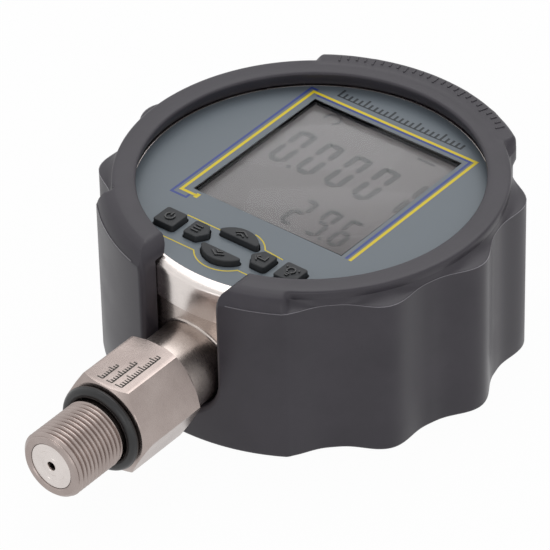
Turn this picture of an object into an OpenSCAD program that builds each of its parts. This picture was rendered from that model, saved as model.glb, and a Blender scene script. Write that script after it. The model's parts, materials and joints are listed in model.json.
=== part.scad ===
// Digital pressure gauge: a round steel case with a threaded stem, in a lobed rubber boot.
// It lies on its back. +Z is out of the dial, -Y is along the stem, +X is the dial's right.
// The origin is the centre of the footprint, at the height of the boot's back face.

/* [Case] */
// Outer radius of the steel case
case_r = 53; // [52:0.5:70]
// Thickness of the case wall
case_wall = 3; // [2:0.1:4]
// Thickness of the case floor
case_floor = 4; // [3.6:0.1:6]
// Height of the dial face above the boot's back face
dial_z = 48; // [46:0.5:70]
// How far the case steps in under the bezel
spigot_step = 1.3; // [1:0.1:1.5]
// How far the bezel stands out past the case
bezel_step = 0.6; // [0.3:0.1:2]
// Depth of the bezel skirt below the dial face
bezel_skirt = 11; // [8:0.5:18]
// Width of the steel band around the overlay
bezel_band = 4; // [3:0.1:6]
// Thickness of the gasket under the front panel
gasket_t = 1; // [0.5:0.1:2]

/* [Boot] */
// Thickness of the boot at the bottom of a valley
boot_wall = 1.7; // [1.2:0.1:5]
// Depth of the valleys between the lobes
lobe_depth = 4.2; // [2:0.1:5]
// Radius of each valley
scallop_r = 22; // [16:1:30]
// Thickness of the boot's floor ring
boot_floor = 5; // [4.4:0.1:9]
// Radius of the round hole in the boot's back
back_hole_r = 40; // [40:0.5:48]
// Height of the shoulder above the dial face
shoulder_rise = 1; // [0:0.1:3]
// Height of the boot's rim above the dial face
rim_rise = 5.5; // [4.5:0.1:9]
// How far the rim reaches in over the bezel
lip_cover = 5.3; // [4:0.1:6]
// How much wider the rim's opening is at the dial than at its top
lip_lean = 1.7; // [0.5:0.1:2]
// Angle that the raised pad covers
pad_angle = 74; // [40:1:90]
// How far the pad stays inside the lobes
pad_inset = 1.1; // [0.5:0.1:2]
// Room between the stem's neck and the notch in the boot
notch_gap = 0.8; // [0.5:0.1:4]
// Rounding of the notch's upper corners
notch_flare = 5; // [3:0.5:7]

/* [Window and display] */
// Width of the clear window
win_w = 52; // [36:1:54]
// Height of the clear window
win_h = 54.4; // [36:0.4:56]
// Middle of the window above the dial's centre
win_y = 7.4; // [5:0.2:10]
// Thickness of the display glass
lcd_t = 2; // [1:0.1:2.4]
// Thickness of the backlight
backlight_t = 3; // [1:0.1:3.4]
// Margin of display glass around the window
lcd_margin = 2; // [1:0.1:3]

/* [Front panel] */
// Thickness of the printed overlay
overlay_t = 0.4; // [0.2:0.1:0.8]
// Thickness of the front panel
panel_t = 2.5; // [2:0.1:4]
// Thickness of the panel's outer flange
flange_t = 1.3; // [0.8:0.1:1.6]
// Height of the panel's posts, which is the room in front of the board
post_h = 7.1; // [6.6:0.1:10]
// Distance of the panel's posts from the dial's centre
post_r = 43.5; // [42:0.5:45]

/* [Keys] */
// Middle of the key row below the dial's centre
keys_y = 35.6; // [35:0.1:37]
// Side of the square keys
key_side = 7; // [5:0.1:8]
// Height of the keys above the dial face
key_rise = 1.8; // [1:0.1:3]
// How far a key travels
key_travel = 0.8; // [0.4:0.1:1.2]
// Room around a key in the panel
key_gap = 0.3; // [0.2:0.05:0.5]
// Distance of the square keys from the middle
outer_key_x = 21; // [19:0.1:22]
// Distance of the shield keys from the middle
inner_key_x = 10.9; // [10.5:0.1:11.5]
// Radius of the pair of leaf keys
leaf_r = 7.9; // [7:0.1:8]
// Half of the space between the leaf keys
leaf_gap = 3.3; // [2.5:0.1:4]

/* [Board] */
// Thickness of the main board
board_t = 1.6; // [1:0.1:2.4]
// Radius of the main board
board_r = 48; // [46:0.5:48]

/* [Stem] */
// Height of the stem's axis above the boot's back face
stem_z = 21.4; // [21:0.1:30]
// Length of the neck between the case and the hexagon
neck_len = 14; // [9:0.5:24]
// Major radius of the M20 x 1.5 process thread
thread_r = 10; // [9:0.5:12]
// Length of the process thread
thread_len = 18.7; // [12:0.1:26]
// Size of the hexagon across its flats
hex_af = 27; // [26:1:32]
// Length of the hexagon
hex_len = 23; // [14:0.5:28]
// Radius of the neck
neck_r = 11.6; // [10.6:0.1:14]
// Radius of the shank through the case wall
shank_r = 9; // [8.2:0.1:9.5]
// Radius of the pressure sensor
sensor_r = 6.5; // [5:0.1:6.8]
// Length of the pressure sensor
sensor_len = 10; // [6:0.5:12]
// Radius of the pressure passage
passage_r = 3; // [1.5:0.1:3.4]
// Radius of the orifice disc in the stem's end
disc_r = 6.87; // [5:0.01:7.5]
// Radius of the hole in the orifice disc
orifice_r = 1.3; // [0.5:0.1:2]
// Thickness of the sealing ring
ring_t = 3.2; // [2.4:0.1:4]

/* [Battery] */
// Diameter of a battery
cell_d = 10.5; // [8:0.1:10.5]
// Length of a battery
cell_len = 44.5; // [28:0.5:44.5]
// Width of the battery door
door_w = 68; // [66:0.5:68]
// Height of the battery door
door_h = 40; // [38:0.5:40]
// Thickness of the battery door
door_t = 2; // [1.6:0.1:2.4]

/* [Clearances] */
// Radial room between the boot and the bezel
boot_gap = 0.2; // [0.1:0.1:0.5]
// Room between parts that slip together
slip = 0.1; // [0.05:0.05:0.2]
// Radial room around a screw
screw_gap = 0.05; // [0.05:0.05:0.1]

/* [Hidden] */
fine = 96;      // facets of round parts in the preview

// Radii about the dial's axis
case_in_r = case_r - case_wall;
spigot_r = case_r - spigot_step;
bezel_r = case_r + bezel_step;
bezel_in_r = spigot_r + slip;
boot_in_r = bezel_r + boot_gap;
valley_r = boot_in_r + boot_wall;
lobe_r = valley_r + lobe_depth;
lip_r = bezel_r - lip_cover;
rim_r = valley_r - 0.3;
pad_r = lobe_r - pad_inset;
overlay_r = bezel_r - bezel_band;
flange_r = spigot_r - slip;

// Heights above the boot's back face
rim_z = dial_z + rim_rise;
shoulder_z = dial_z + shoulder_rise;
case_z = boot_floor;
floor_z = case_z + case_floor;
panel_top = dial_z - overlay_t;
panel_z = panel_top - panel_t;
flange_z = panel_z + flange_t;
case_top = panel_z - gasket_t;
bezel_z = dial_z - bezel_skirt;
board_top = panel_z - post_h;
board_z = board_top - board_t;

// Stem, by distance from the dial's axis
hex_back = case_r + neck_len;
seal_face = hex_back + hex_len;
thread_start = seal_face + ring_t + 0.3;
stem_end = thread_start + thread_len;

// The dial's axis lies behind the footprint's centre, because the stem reaches further than the boot
dial_y = (stem_end - lobe_r) / 2;

// Lobes: the two valleys beside the stem are left out
lobe_count = 12;
lobe_step = 360 / lobe_count;
post_half = 1.2 * lobe_step;
chamfer = 1.5;

// Window and display
pane_margin = 1.5;
pane_t = 1.3;
lcd_w = win_w + 2 * lcd_margin;
lcd_h = win_h + 2 * lcd_margin;
lcd_wall = 1.5;
lcd_z = panel_z - slip - lcd_t;
backlight_z = lcd_z - backlight_t;
strip_w = 2.2;
strip_gap = 0.4;
backlight_h = lcd_h - 2 * (strip_w + 2 * strip_gap);

// Keys
key_round = 0.8;
key_z = dial_z + key_rise;
key_lip = 0.9;
key_lip_t = 1.5;
key_lip_top = panel_z - key_gap;
dome_r = 3;
dome_t = 0.9;
mat_t = 2.4;
plunger_r = 2.4;
plunger_z = board_top + dome_t + key_travel + 0.1;
half_key = key_side / 2 - key_round;
leaf_core = leaf_r - key_round;
leaf_angle = acos((leaf_gap + key_round) / leaf_core);
square_key = [[-half_key, -half_key], [half_key, -half_key], [half_key, half_key], [-half_key, half_key]];
shield_key = [[-2.5, -2.4], [0.9, -2.4], [2.5, 0], [0.9, 2.4], [-2.5, 2.4]];
leaf_key = [for (i = [0:8]) let (a = 90 - leaf_angle + i * leaf_angle / 4) leaf_core * [cos(a), sin(a)]];
// name, place of the outline's centre, turn, outline, place of the plunger from that centre
KEYS = [
    [[-outer_key_x, -keys_y], 0, square_key, [0, 0]],
    [[-inner_key_x, -keys_y], 0, shield_key, [0, 0]],
    [[0, -keys_y], 0, leaf_key, [0, (leaf_r + leaf_gap) / 2]],
    [[0, -keys_y], 180, leaf_key, [0, (leaf_r + leaf_gap) / 2]],
    [[inner_key_x, -keys_y], 180, shield_key, [0, 0]],
    [[outer_key_x, -keys_y], 0, square_key, [0, 0]]];

// Screws
small_screw_r = 1.2;
small_head_r = 2.4;
small_head_t = 1.2;
post_angles = [20, 160, 200, 340];

// Battery bay
cell_pitch = cell_d + 0.6;
cell_count = 3;
bay_w = cell_len + 7.5;
bay_h = cell_count * cell_pitch + 0.7;
tray_wall = 1.5;
tray_room = cell_d + 0.7;
tray_top = floor_z + tray_room + tray_wall;
cell_z = floor_z + tray_room - 0.3 - cell_d / 2;
contact_t = 0.4;
ear_x = 18;
ear_reach = 7.5;
ear_y = bay_h / 2 + tray_wall + 4;
ear_t = 2;
seal_t = 0.6;
seal_w = 1.6;
door_recess = door_t + seal_t;
door_screw_x = door_w / 2 - 3.5;
door_screw_r = 1.25;
door_head_r = 2.6;
door_head_t = 1.3;
boss_h = 3;

// Inside the stem, by distance from the dial's axis
relief_r = thread_r - 0.7;
nut_af = 24;
nut_t = 5;
saddle_r = min(13, stem_z - floor_z - slip);
saddle_in = case_in_r - 4.5;
nut_in = saddle_in - nut_t;
shank_in = nut_in - 1;
chamber_r = sensor_r + slip;
chamber_end = seal_face - 4.6;
seal_tube = 0.7;
sensor_front = chamber_end - 2 * seal_tube;
sensor_back = sensor_front - sensor_len;
clamp_t = 4;
pin_len = 8;
pin_r = 0.4;
pin_circle = 2.5;
disc_t = 1.6;
disc_sink = 0.3;
notch_r = neck_r + notch_gap;
ribbon_w = 6;
ribbon_t = 0.8;
socket_h = 2;
ribbon_y = nut_in - 4;

// ---------- shared shapes ----------

// Points of a convex outline whose corners are rounded outwards by r
function rounded(pts, r, steps = 3) = [
    for (i = [0:len(pts) - 1])
        let (
            before = pts[(i + len(pts) - 1) % len(pts)],
            here = pts[i],
            after = pts[(i + 1) % len(pts)],
            a1 = atan2(here.y - before.y, here.x - before.x) - 90,
            a2 = atan2(after.y - here.y, after.x - here.x) - 90,
            turn = (a2 - a1 + 720) % 360)
        for (k = [0:steps]) here + r * [cos(a1 + turn * k / steps), sin(a1 + turn * k / steps)]];

module on_dial() translate([0, dial_y, 0]) children();

// Turns +Z into the stem's direction, with zero on the dial's axis
module along_stem(from = 0) on_dial() translate([0, -from, stem_z]) rotate([90, 0, 0]) children();

module rod(r, h) cylinder(r = r, h = h, $fn = fine);

module tube(r_out, r_in, h) difference() {
    rod(r_out, h);
    translate([0, 0, -1]) rod(r_in, h + 2);
}

module plate(w, h, t) translate([-w / 2, -h / 2, 0]) cube([w, h, t]);

module at_window(z) on_dial() translate([0, win_y, z]) children();

module at_posts(z) on_dial() for (a = post_angles) rotate(a) translate([post_r, 0, z]) children();

// ---------- boot ----------

module lobed_outline() difference() {
    circle(r = lobe_r, $fn = 180);
    for (i = [0:lobe_count - 1])
        let (a = (i + 0.5) * lobe_step)
            if (abs(a - 270) > post_half)
                rotate(a) translate([valley_r + scallop_r, 0]) circle(r = scallop_r, $fn = fine);
}

module rim_profile() polygon([
    [lip_r, dial_z - 1], [lip_r, rim_z - 1], [lip_r + 0.8, rim_z], [rim_r - chamfer, rim_z],
    [rim_r, rim_z - chamfer], [rim_r, dial_z - 1]]);

// Section of the opening above the dial, which narrows upwards
module lip_bore() polygon([
    [0, dial_z], [lip_r + lip_lean, dial_z], [lip_r, rim_z - 1], [lip_r, rim_z + 1], [0, rim_z + 1]]);

// Section of the raised pad, from the rim out to its own edge
module pad_profile() polygon([
    [rim_r - 2, shoulder_z - 4], [pad_r, shoulder_z - 4], [pad_r, rim_z - 1.4],
    [pad_r - 0.8, rim_z - 0.6], [rim_r - 2, rim_z - 0.6]]);

// Section of the two posts beside the stem, whose tops roll over into the rim
module post_profile() polygon([
    [rim_r - 2, shoulder_z - 1], [lobe_r - 0.5, shoulder_z - 1], [lobe_r - 1.3, shoulder_z + 1.6],
    [lobe_r - 3, rim_z - 0.9], [rim_r - 2, rim_z - 0.6]]);

// Upright section of the notch for the stem, with rounded upper corners
module notch_section() {
    circle(r = notch_r, $fn = fine);
    top = rim_z - stem_z;
    polygon(concat(
        [[notch_r, 0]],
        [for (k = [0:6]) [notch_r + notch_flare * (1 - cos(15 * k)), top - notch_flare * (1 - sin(15 * k))]],
        [[notch_r + notch_flare, top + 5], [-notch_r - notch_flare, top + 5]],
        [for (k = [6:-1:0]) [-notch_r - notch_flare * (1 - cos(15 * k)), top - notch_flare * (1 - sin(15 * k))]],
        [[-notch_r, 0]]));
}

module rubber_boot() color("#4d4d52") on_dial() difference() {
    union() {
        linear_extrude(shoulder_z) lobed_outline();
        rotate_extrude($fn = 180) rim_profile();
        rotate([0, 0, 90 - pad_angle / 2]) rotate_extrude(angle = pad_angle, $fn = 180) pad_profile();
        rotate([0, 0, 270 - post_half]) rotate_extrude(angle = 2 * post_half, $fn = 180) post_profile();
    }
    translate([0, 0, boot_floor]) rod(boot_in_r, dial_z + 0.3 - boot_floor);
    rotate_extrude($fn = 180) lip_bore();
    translate([0, 0, -1]) rod(back_hole_r, boot_floor + 2);
    translate([0, -case_in_r + 8, stem_z]) rotate([90, 0, 0])
        linear_extrude(lobe_r) notch_section();
}

// ---------- case ----------

module case_cup() color("#b4aca4") on_dial() difference() {
    union() {
        difference() {
            union() {
                translate([0, 0, case_z]) rod(case_r, bezel_z - slip - case_z);
                translate([0, 0, case_z]) rod(spigot_r, case_top - case_z);
            }
            translate([0, 0, floor_z]) rod(case_in_r, case_top);
        }
        for (side = [-1, 1])
            translate([side * door_screw_x, 0, floor_z - 1]) rod(door_head_r + 0.2, boss_h + 1);
    }
    translate([0, 0, case_z - 1]) plate(bay_w, bay_h, case_floor + 2);
    translate([0, 0, case_z - 1]) plate(door_w + 2 * slip, door_h + 2 * slip, door_recess + 1);
    for (side = [-1, 1])
        translate([side * door_screw_x, 0, case_z]) rod(door_screw_r + screw_gap, case_floor + boss_h + 1);
    for (x = [-ear_x, ear_x], y = [-ear_y, ear_y])
        translate([x, y, floor_z - 2.6]) rod(small_screw_r + screw_gap, 5);
    translate([0, -case_in_r + 8, stem_z]) rotate([90, 0, 0]) rod(shank_r + slip, case_r);
}

module bezel_ring() color("#bdb5ad") on_dial() rotate_extrude($fn = 180) polygon([
    [overlay_r + slip, flange_z], [bezel_in_r, flange_z], [bezel_in_r, bezel_z], [bezel_r, bezel_z],
    [bezel_r, dial_z - 2.4], [bezel_r - 0.3, dial_z - 1.4], [bezel_r - 1, dial_z - 0.5],
    [bezel_r - 2.2, dial_z + 0.1], [overlay_r + 0.5, dial_z + 0.1], [overlay_r + slip, dial_z - 0.2]]);

module bezel_gasket() color("#202022") on_dial() translate([0, 0, case_top])
    tube(flange_r, case_in_r + slip, gasket_t);

// ---------- front panel and display ----------

module key_outline(i, grow) on_dial() translate(KEYS[i][0]) rotate(KEYS[i][1])
    polygon(rounded(KEYS[i][2], key_round + grow));

module key_plunger_place(i) on_dial() translate(KEYS[i][0]) rotate(KEYS[i][1]) translate(KEYS[i][3])
    children();

module front_panel() color("#2a2b2e") difference() {
    union() {
        on_dial() translate([0, 0, panel_z]) rod(flange_r, flange_t);
        on_dial() translate([0, 0, panel_z]) rod(overlay_r, panel_t);
        at_posts(board_top) rod(3, post_h + 1);
    }
    at_window(panel_z - 1) plate(win_w, win_h, panel_t + 2);
    at_window(panel_top - pane_t)
        plate(win_w + 2 * pane_margin, win_h + 2 * pane_margin, pane_t + 1);
    translate([0, 0, panel_z - 1])
        for (i = [0:5]) linear_extrude(panel_t + 2) key_outline(i, key_gap);
    at_posts(board_top - 1) rod(small_screw_r + screw_gap, post_h - 0.5);
}

module face_overlay() color("#6e767d") translate([0, 0, panel_top]) difference() {
    on_dial() rod(overlay_r, overlay_t);
    translate([0, 0, -1]) {
        at_window(0) plate(win_w, win_h, overlay_t + 2);
        for (i = [0:5]) linear_extrude(overlay_t + 2) key_outline(i, key_gap + 0.1);
    }
}

module display_window() color("#c8d2d8") union() {
    at_window(panel_top - pane_t)
        plate(win_w + 2 * (pane_margin - slip), win_h + 2 * (pane_margin - slip), pane_t);
    at_window(panel_top - 1) plate(win_w - 2 * slip, win_h - 2 * slip, overlay_t + 1);
}

module lcd_frame() color("#1c1d1f") difference() {
    at_window(board_top) plate(lcd_w + 2 * lcd_wall, lcd_h + 2 * lcd_wall, post_h);
    at_window(board_top - 1) plate(lcd_w + 2 * slip, lcd_h + 2 * slip, post_h + 2);
}

module lcd_glass() color("#96928f") at_window(lcd_z) plate(lcd_w, lcd_h, lcd_t);

module backlight() color("#f2f2ec") {
    at_window(backlight_z) plate(lcd_w - 1, backlight_h, backlight_t);
    at_window(board_top)
        for (x = [-20, 20], y = [-20, 20]) translate([x, y, 0]) rod(1.2, backlight_z - board_top + 0.5);
}

module lcd_connectors() color("#c05a6a") at_window(board_top)
    for (side = [-1, 1])
        translate([0, side * (backlight_h / 2 + strip_gap + strip_w / 2), 0])
            plate(lcd_w - 6, strip_w, lcd_z - board_top);

module main_board() color("#1f6b3a") difference() {
    on_dial() translate([0, 0, board_z]) rod(board_r, board_t);
    at_posts(board_z - 1) rod(small_screw_r + 0.3, board_t + 2);
}

// Chips and the ribbon's socket hang from the back of the board: x, y, width, height, depth
CHIPS = [[-8, 12, 12, 12, 1.6], [12, 14, 9, 6, 1.4], [-24, 2, 8, 5, 1.2], [16, -2, 5, 5, 2.2],
    [-10, -8, 6, 4, 1.4], [26, 6, 7, 9, 3], [0, 30, 10, 4, 2.5]];

module board_chips() color("#26272a") on_dial() {
    for (c = CHIPS) translate([c[0], c[1], board_z - c[4]]) plate(c[2], c[3], c[4]);
    translate([0, -ribbon_y, board_z - socket_h]) difference() {
        plate(ribbon_w + 3, 4, socket_h);
        translate([0, 0, -1]) plate(ribbon_w + 0.2, ribbon_t + 0.2, socket_h + 0.4);
    }
}

module board_screws() color("#c9c9cc") at_posts(board_z) {
    translate([0, 0, -small_head_t]) rod(small_head_r, small_head_t);
    translate([0, 0, -0.5]) rod(small_screw_r, board_t + post_h - 2);
}

// ---------- keys ----------

module keypad_mat() color("#3a3b3e") difference() {
    on_dial() intersection() {
        translate([0, -keys_y, board_top]) plate(2 * outer_key_x + key_side + 4, 2 * leaf_r + 3, mat_t);
        translate([0, 0, board_top]) rod(board_r, mat_t);
    }
    translate([0, 0, board_top - 1])
        for (i = [0:5]) key_plunger_place(i) rod(dome_r + 0.6, mat_t + 2);
}

module key_domes() color("#d8d2c0") translate([0, 0, board_top])
    for (i = [0:5]) key_plunger_place(i) rod(dome_r, dome_t);

module key(i) color("#2d2f32") {
    translate([0, 0, key_lip_top - 0.5]) linear_extrude(key_z - key_lip_top + 0.5) key_outline(i, 0);
    translate([0, 0, key_lip_top - key_lip_t]) linear_extrude(key_lip_t) key_outline(i, key_lip);
    translate([0, 0, plunger_z]) key_plunger_place(i) rod(plunger_r, key_lip_top - 0.5 - plunger_z);
}

// ---------- batteries ----------

module battery_holder() color("#303236") on_dial() difference() {
    union() {
        translate([0, 0, floor_z]) plate(bay_w + 2 * tray_wall, bay_h + 2 * tray_wall, tray_top - floor_z);
        for (x = [-ear_x, ear_x])
            translate([x, 0, floor_z]) plate(8, bay_h + 2 * tray_wall + 2 * ear_reach, ear_t);
    }
    translate([0, 0, floor_z - 1]) plate(bay_w, bay_h, tray_room + 1);
    for (x = [-ear_x, ear_x], y = [-ear_y, ear_y])
        translate([x, y, floor_z - 1]) rod(small_screw_r + 0.3, ear_t + 2);
}

module holder_screws() color("#c9c9cc") on_dial()
    for (x = [-ear_x, ear_x], y = [-ear_y, ear_y]) {
        translate([x, y, floor_z + ear_t]) rod(small_head_r, small_head_t);
        translate([x, y, floor_z - 2]) rod(small_screw_r, ear_t + 2.5);
    }

module cell_place(i) on_dial() translate([0, (i - (cell_count - 1) / 2) * cell_pitch, cell_z])
    rotate([0, i % 2 == 0 ? 90 : -90, 0]) children();

module batteries() color("#b98a3c") for (i = [0:cell_count - 1]) cell_place(i) {
    translate([0, 0, -cell_len / 2]) rod(cell_d / 2, cell_len - 1);
    translate([0, 0, cell_len / 2 - 1.5]) rod(1.9, 1.5);
}

// A flat plate meets each battery's tip, and a coned spring meets its base
module battery_contacts() color("#c8c4b8") for (i = [0:cell_count - 1]) cell_place(i) {
    translate([-4, -4, bay_w / 2 - contact_t]) cube([8, 8, contact_t]);
    translate([0, 0, cell_len / 2 + 0.2]) rod(2.2, bay_w / 2 - contact_t - cell_len / 2);
    translate([-4, -4, -bay_w / 2]) cube([8, 8, contact_t]);
    translate([0, 0, -bay_w / 2 + contact_t / 2])
        cylinder(r1 = 3.6, r2 = 2.2, h = (bay_w - cell_len) / 2 - contact_t / 2 - 0.2, $fn = fine);
}

module battery_door() color("#36383c") on_dial() difference() {
    translate([0, 0, case_z]) plate(door_w, door_h, door_t);
    for (side = [-1, 1]) translate([side * door_screw_x, 0, case_z]) {
        translate([0, 0, -1]) rod(door_head_r + 0.2, door_head_t + 1);
        rod(door_screw_r + 0.25, door_t + 1);
    }
    translate([0, 0, case_z - 1]) for (k = [-3:3]) translate([k * 2.4, 0, 0]) plate(1, 14, 1.5);
}

module door_seal() color("#1d1d1f") on_dial() translate([0, 0, case_z + door_t]) difference() {
    plate(bay_w + 2 * (seal_w + 0.4), bay_h + 2 * (seal_w + 0.4), seal_t);
    translate([0, 0, -1]) plate(bay_w + 0.8, bay_h + 0.8, seal_t + 2);
}

module door_screws() color("#c9c9cc") on_dial() for (side = [-1, 1])
    translate([side * door_screw_x, 0, case_z + 0.1]) difference() {
        union() {
            rod(door_head_r, door_head_t - 0.1);
            rod(door_screw_r, case_floor + boss_h - 1);
        }
        translate([0, 0, -1]) plate(0.7, 6, 1.6);
        translate([0, 0, -1]) plate(6, 0.7, 1.6);
    }

// ---------- stem ----------

module process_connector() color("#b8afa6") difference() {
    union() {
        along_stem(shank_in) rod(shank_r, hex_back - shank_in + 1);
        difference() {
            along_stem(case_in_r) rod(neck_r, hex_back - case_in_r + 1);
            on_dial() translate([0, 0, stem_z - neck_r - 5]) rod(case_r + slip / 2, 2 * neck_r + 10);
        }
        intersection() {
            along_stem(hex_back) cylinder(r = hex_af / sqrt(3), h = hex_len, $fn = 6);
            // Both ends of the hexagon are turned to a cone
            along_stem(hex_back) rotate_extrude($fn = fine) polygon([
                [0, 0], [hex_af / 2 - 0.2, 0], [hex_af / 2 + 2.2, 1.6],
                [hex_af / 2 + 2.2, hex_len - 1.6], [hex_af / 2 - 0.2, hex_len], [0, hex_len]]);
        }
        along_stem(seal_face - 1) rod(relief_r, thread_start - seal_face + 2);
        along_stem(thread_start) rotate_extrude($fn = fine) polygon([
            [0, 0], [thread_r - 0.7, 0], [thread_r, 0.7], [thread_r, thread_len - 1],
            [thread_r - 1, thread_len], [0, thread_len]]);
    }
    along_stem(shank_in - 1) rod(chamber_r, chamber_end - shank_in + 1);
    along_stem(chamber_end - 1) rod(passage_r, stem_end - chamber_end);
    along_stem(stem_end - disc_t - disc_sink) rod(disc_r + screw_gap, disc_t + 2);
}

module sealing_ring() color("#161617") along_stem(seal_face + 0.05 + ring_t / 2)
    rotate_extrude($fn = fine) translate([relief_r + 0.3 + ring_t / 2, 0]) circle(d = ring_t, $fn = fine);

module orifice_disc() color("#a89f97") along_stem(stem_end - disc_t - disc_sink)
    tube(disc_r, orifice_r, disc_t);

module pressure_sensor() color("#cfcac4") {
    along_stem(sensor_back) rod(sensor_r, sensor_len);
    for (a = [45:90:315])
        along_stem(sensor_back - pin_len) rotate(a) translate([pin_circle, 0, 0]) rod(pin_r, pin_len + 1);
}

module sensor_seal() color("#161617") along_stem(sensor_front + seal_tube)
    rotate_extrude($fn = fine) translate([passage_r + 1.6, 0]) circle(r = seal_tube, $fn = 32);

module sensor_clamp() color("#b8afa6") along_stem(sensor_back - clamp_t) tube(sensor_r, 4, clamp_t);

module sensor_board() color("#1f6b3a") difference() {
    along_stem(sensor_back - pin_len) rod(sensor_r - 0.6, 1);
    for (a = [45:90:315])
        along_stem(sensor_back - pin_len - 1) rotate(a) translate([pin_circle, 0, 0]) rod(pin_r + 0.1, 3);
}

// A flat ribbon runs down the middle of the shank and up to the socket under the main board
module sensor_ribbon() color("#d9d3c3") on_dial() translate([-ribbon_w / 2, 0, stem_z]) {
    board_end = sensor_back - pin_len - 0.05;
    translate([0, -board_end, 0]) cube([ribbon_w, board_end - ribbon_y + ribbon_t / 2, ribbon_t]);
    translate([0, -ribbon_y - ribbon_t / 2, 0]) cube([ribbon_w, ribbon_t, board_z - stem_z - 1]);
}

module stem_saddle() color("#b8afa6") intersection() {
    along_stem(saddle_in) tube(saddle_r, shank_r + slip, case_wall + 4);
    on_dial() translate([0, 0, stem_z - saddle_r - 5]) rod(case_in_r - slip, 2 * saddle_r + 10);
}

module stem_nut() color("#c0b9b1") difference() {
    along_stem(nut_in) cylinder(r = nut_af / sqrt(3), h = nut_t, $fn = 6);
    along_stem(nut_in - 1) rod(shank_r + screw_gap, nut_t + 2);
}

rubber_boot();
case_cup();
bezel_ring();
bezel_gasket();
front_panel();
face_overlay();
display_window();
lcd_frame();
lcd_glass();
backlight();
lcd_connectors();
main_board();
board_chips();
board_screws();
keypad_mat();
key_domes();
key(0);  // power_key
key(1);  // set_key
key(2);  // up_key
key(3);  // down_key
key(4);  // return_key
key(5);  // light_key
battery_holder();
holder_screws();
batteries();
battery_contacts();
battery_door();
door_seal();
door_screws();
process_connector();
sealing_ring();
orifice_disc();
pressure_sensor();
sensor_seal();
sensor_clamp();
sensor_board();
sensor_ribbon();
stem_saddle();
stem_nut();
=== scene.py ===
import json
import math
import bmesh
import bpy
import numpy as np
from mathutils import Matrix, Vector


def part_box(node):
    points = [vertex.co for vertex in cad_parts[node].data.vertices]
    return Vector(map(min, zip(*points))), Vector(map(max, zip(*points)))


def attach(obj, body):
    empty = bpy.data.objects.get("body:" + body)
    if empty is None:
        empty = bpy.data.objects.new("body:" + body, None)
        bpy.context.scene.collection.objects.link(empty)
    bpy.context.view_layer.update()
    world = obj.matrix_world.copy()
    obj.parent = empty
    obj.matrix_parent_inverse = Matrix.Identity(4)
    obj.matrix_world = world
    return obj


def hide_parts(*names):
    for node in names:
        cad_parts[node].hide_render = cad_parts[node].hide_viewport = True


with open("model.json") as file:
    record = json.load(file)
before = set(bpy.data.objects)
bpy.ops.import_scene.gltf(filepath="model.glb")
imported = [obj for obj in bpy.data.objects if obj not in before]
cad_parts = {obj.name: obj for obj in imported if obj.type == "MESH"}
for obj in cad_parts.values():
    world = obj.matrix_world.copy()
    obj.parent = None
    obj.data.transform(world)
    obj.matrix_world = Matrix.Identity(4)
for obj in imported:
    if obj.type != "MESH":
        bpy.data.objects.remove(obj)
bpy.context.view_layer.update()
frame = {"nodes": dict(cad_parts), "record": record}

mm = 0.001
fullTurn = 2 * math.pi
overlayLow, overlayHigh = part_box("face_overlay")
ringLow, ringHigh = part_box("sealing_ring")
dialY = (overlayLow.y + overlayHigh.y) / 2 / mm    # the dial's axis, in mm
dialZ = overlayHigh.z / mm                         # height of the dial face
stemZ = (ringLow.z + ringHigh.z) / 2 / mm          # height of the stem's axis


def place(x, y, z):
    return Vector((x, y + dialY, z)) * mm


def alongStem(reach, r=0.0, angle=0.0):
    return place(r * math.cos(angle), -reach, stemZ + r * math.sin(angle))


def clearBench():
    if bpy.context.mode != "OBJECT":
        bpy.ops.object.mode_set(mode="OBJECT")
    bpy.ops.object.select_all(action="DESELECT")


def pick(piece):
    clearBench()
    piece.select_set(True)
    bpy.context.view_layer.objects.active = piece


def editAll(piece):
    pick(piece)
    bpy.ops.object.mode_set(mode="EDIT")
    bpy.ops.mesh.select_all(action="SELECT")


def settle(piece):
    pick(piece)
    bpy.ops.object.transform_apply(location=True, rotation=True, scale=True)


def closeUp(piece, gap=0.0005):
    editAll(piece)
    bpy.ops.mesh.remove_doubles(threshold=gap * mm)
    bpy.ops.mesh.normals_make_consistent(inside=False)
    bpy.ops.object.mode_set(mode="OBJECT")


def apply(piece, kind, **settings):
    modifier = piece.modifiers.new(kind.title(), kind)
    for setting, value in settings.items():
        setattr(modifier, setting, value)
    pick(piece)
    bpy.ops.object.modifier_apply(modifier=modifier.name)


def combine(piece, tool, operation="DIFFERENCE"):
    apply(piece, "BOOLEAN", object=tool, operation=operation, solver="EXACT")
    bpy.data.objects.remove(tool)


def softEdges(piece, width, segments=2, angle=30):
    apply(piece, "BEVEL", width=width * mm, segments=segments, limit_method="ANGLE",
          angle_limit=math.radians(angle), miter_outer="MITER_ARC")


def joinPieces(pieces):
    pick(pieces[0])
    for piece in pieces:
        piece.select_set(True)
    bpy.ops.object.join()
    return bpy.context.object


def finishPiece(piece, name, body, slot, nodes=(), angle=30, material=None):
    settle(piece)
    piece.name = name
    piece.data.name = name
    bpy.ops.object.shade_smooth_by_angle(angle=math.radians(angle))
    piece.data.materials.clear()
    piece.data.materials.append(materials[material or slot])
    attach(piece, body)
    if nodes:
        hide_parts(*nodes)
    return piece


def closedProfile(points, toPlace):
    # a circle whose points are moved onto the outline, ready to spin
    clearBench()
    bpy.ops.mesh.primitive_circle_add(vertices=len(points), radius=mm, fill_type="NOTHING")
    piece = bpy.context.object
    for vertex, point in zip(piece.data.vertices, points):
        vertex.co = toPlace(*point)
    return piece


def spinProfile(points, steps, toPlace, centre, axis):
    piece = closedProfile(points, toPlace)
    editAll(piece)
    bpy.ops.mesh.spin(steps=steps, angle=fullTurn, center=centre, axis=axis)
    closeUp(piece)
    return piece


def spinOnDial(points, steps=240):
    return spinProfile(points, steps, lambda r, z: place(r, 0, z), place(0, 0, 0), (0, 0, 1))


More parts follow.
